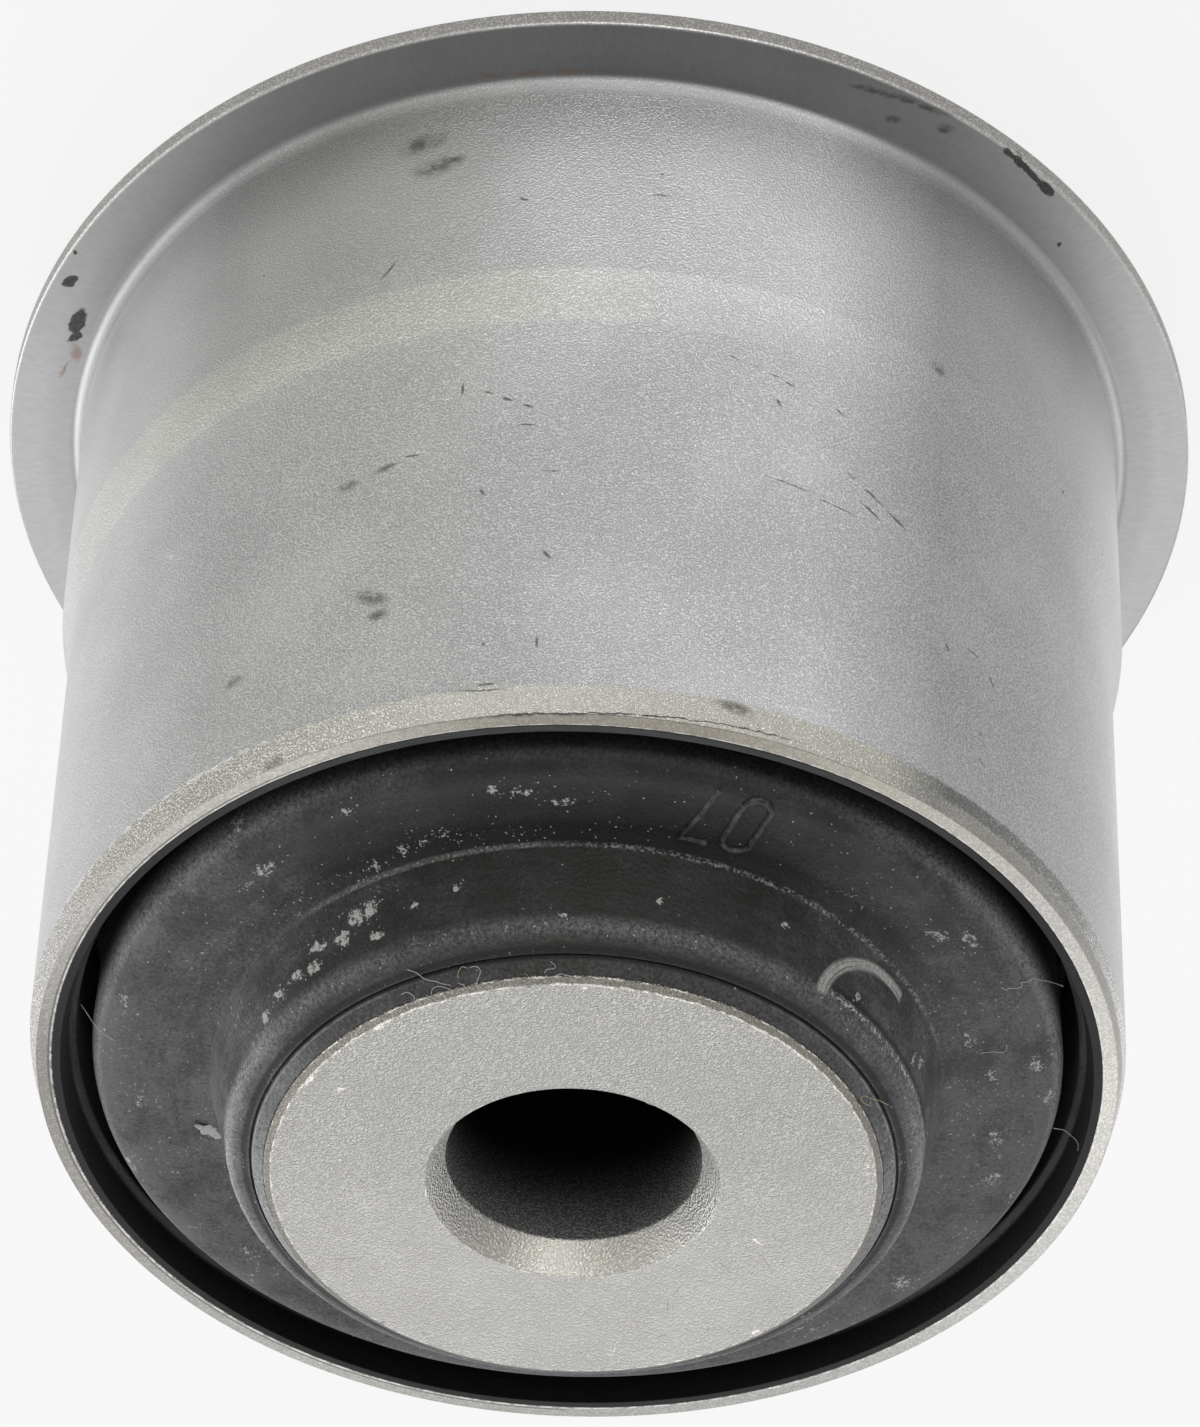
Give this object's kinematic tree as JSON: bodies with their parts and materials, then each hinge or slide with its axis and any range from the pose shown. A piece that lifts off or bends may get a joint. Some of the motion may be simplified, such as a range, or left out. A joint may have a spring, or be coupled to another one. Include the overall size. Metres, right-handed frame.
{
  "type": "rubber metal bush",
  "caption": "Flanged rubber-to-metal bush: a thick countersunk inner sleeve bonded by moulded rubber inside a stepped, flanged steel outer sleeve.",
  "frame": {"origin": "centre of the inner sleeve's end face on the flange's side, which is the face the bush stands on", "axes": "+Z along the common axis, from the flanged end to the narrow end; X and Y are across it, and the form is the same all round"},
  "size_m": [0.0818, 0.0818, 0.0734],
  "materials": {
    "coated_steel": "phosphated, fine matt grain",
    "rubber": "moulded, dusty satin",
    "bare_steel": "cut and lightly worn"
  },
  "bodies": {
    "root": {"outer_sleeve": "coated_steel", "rubber_element": "rubber", "inner_sleeve": "bare_steel"}
  },
  "joints": []
}
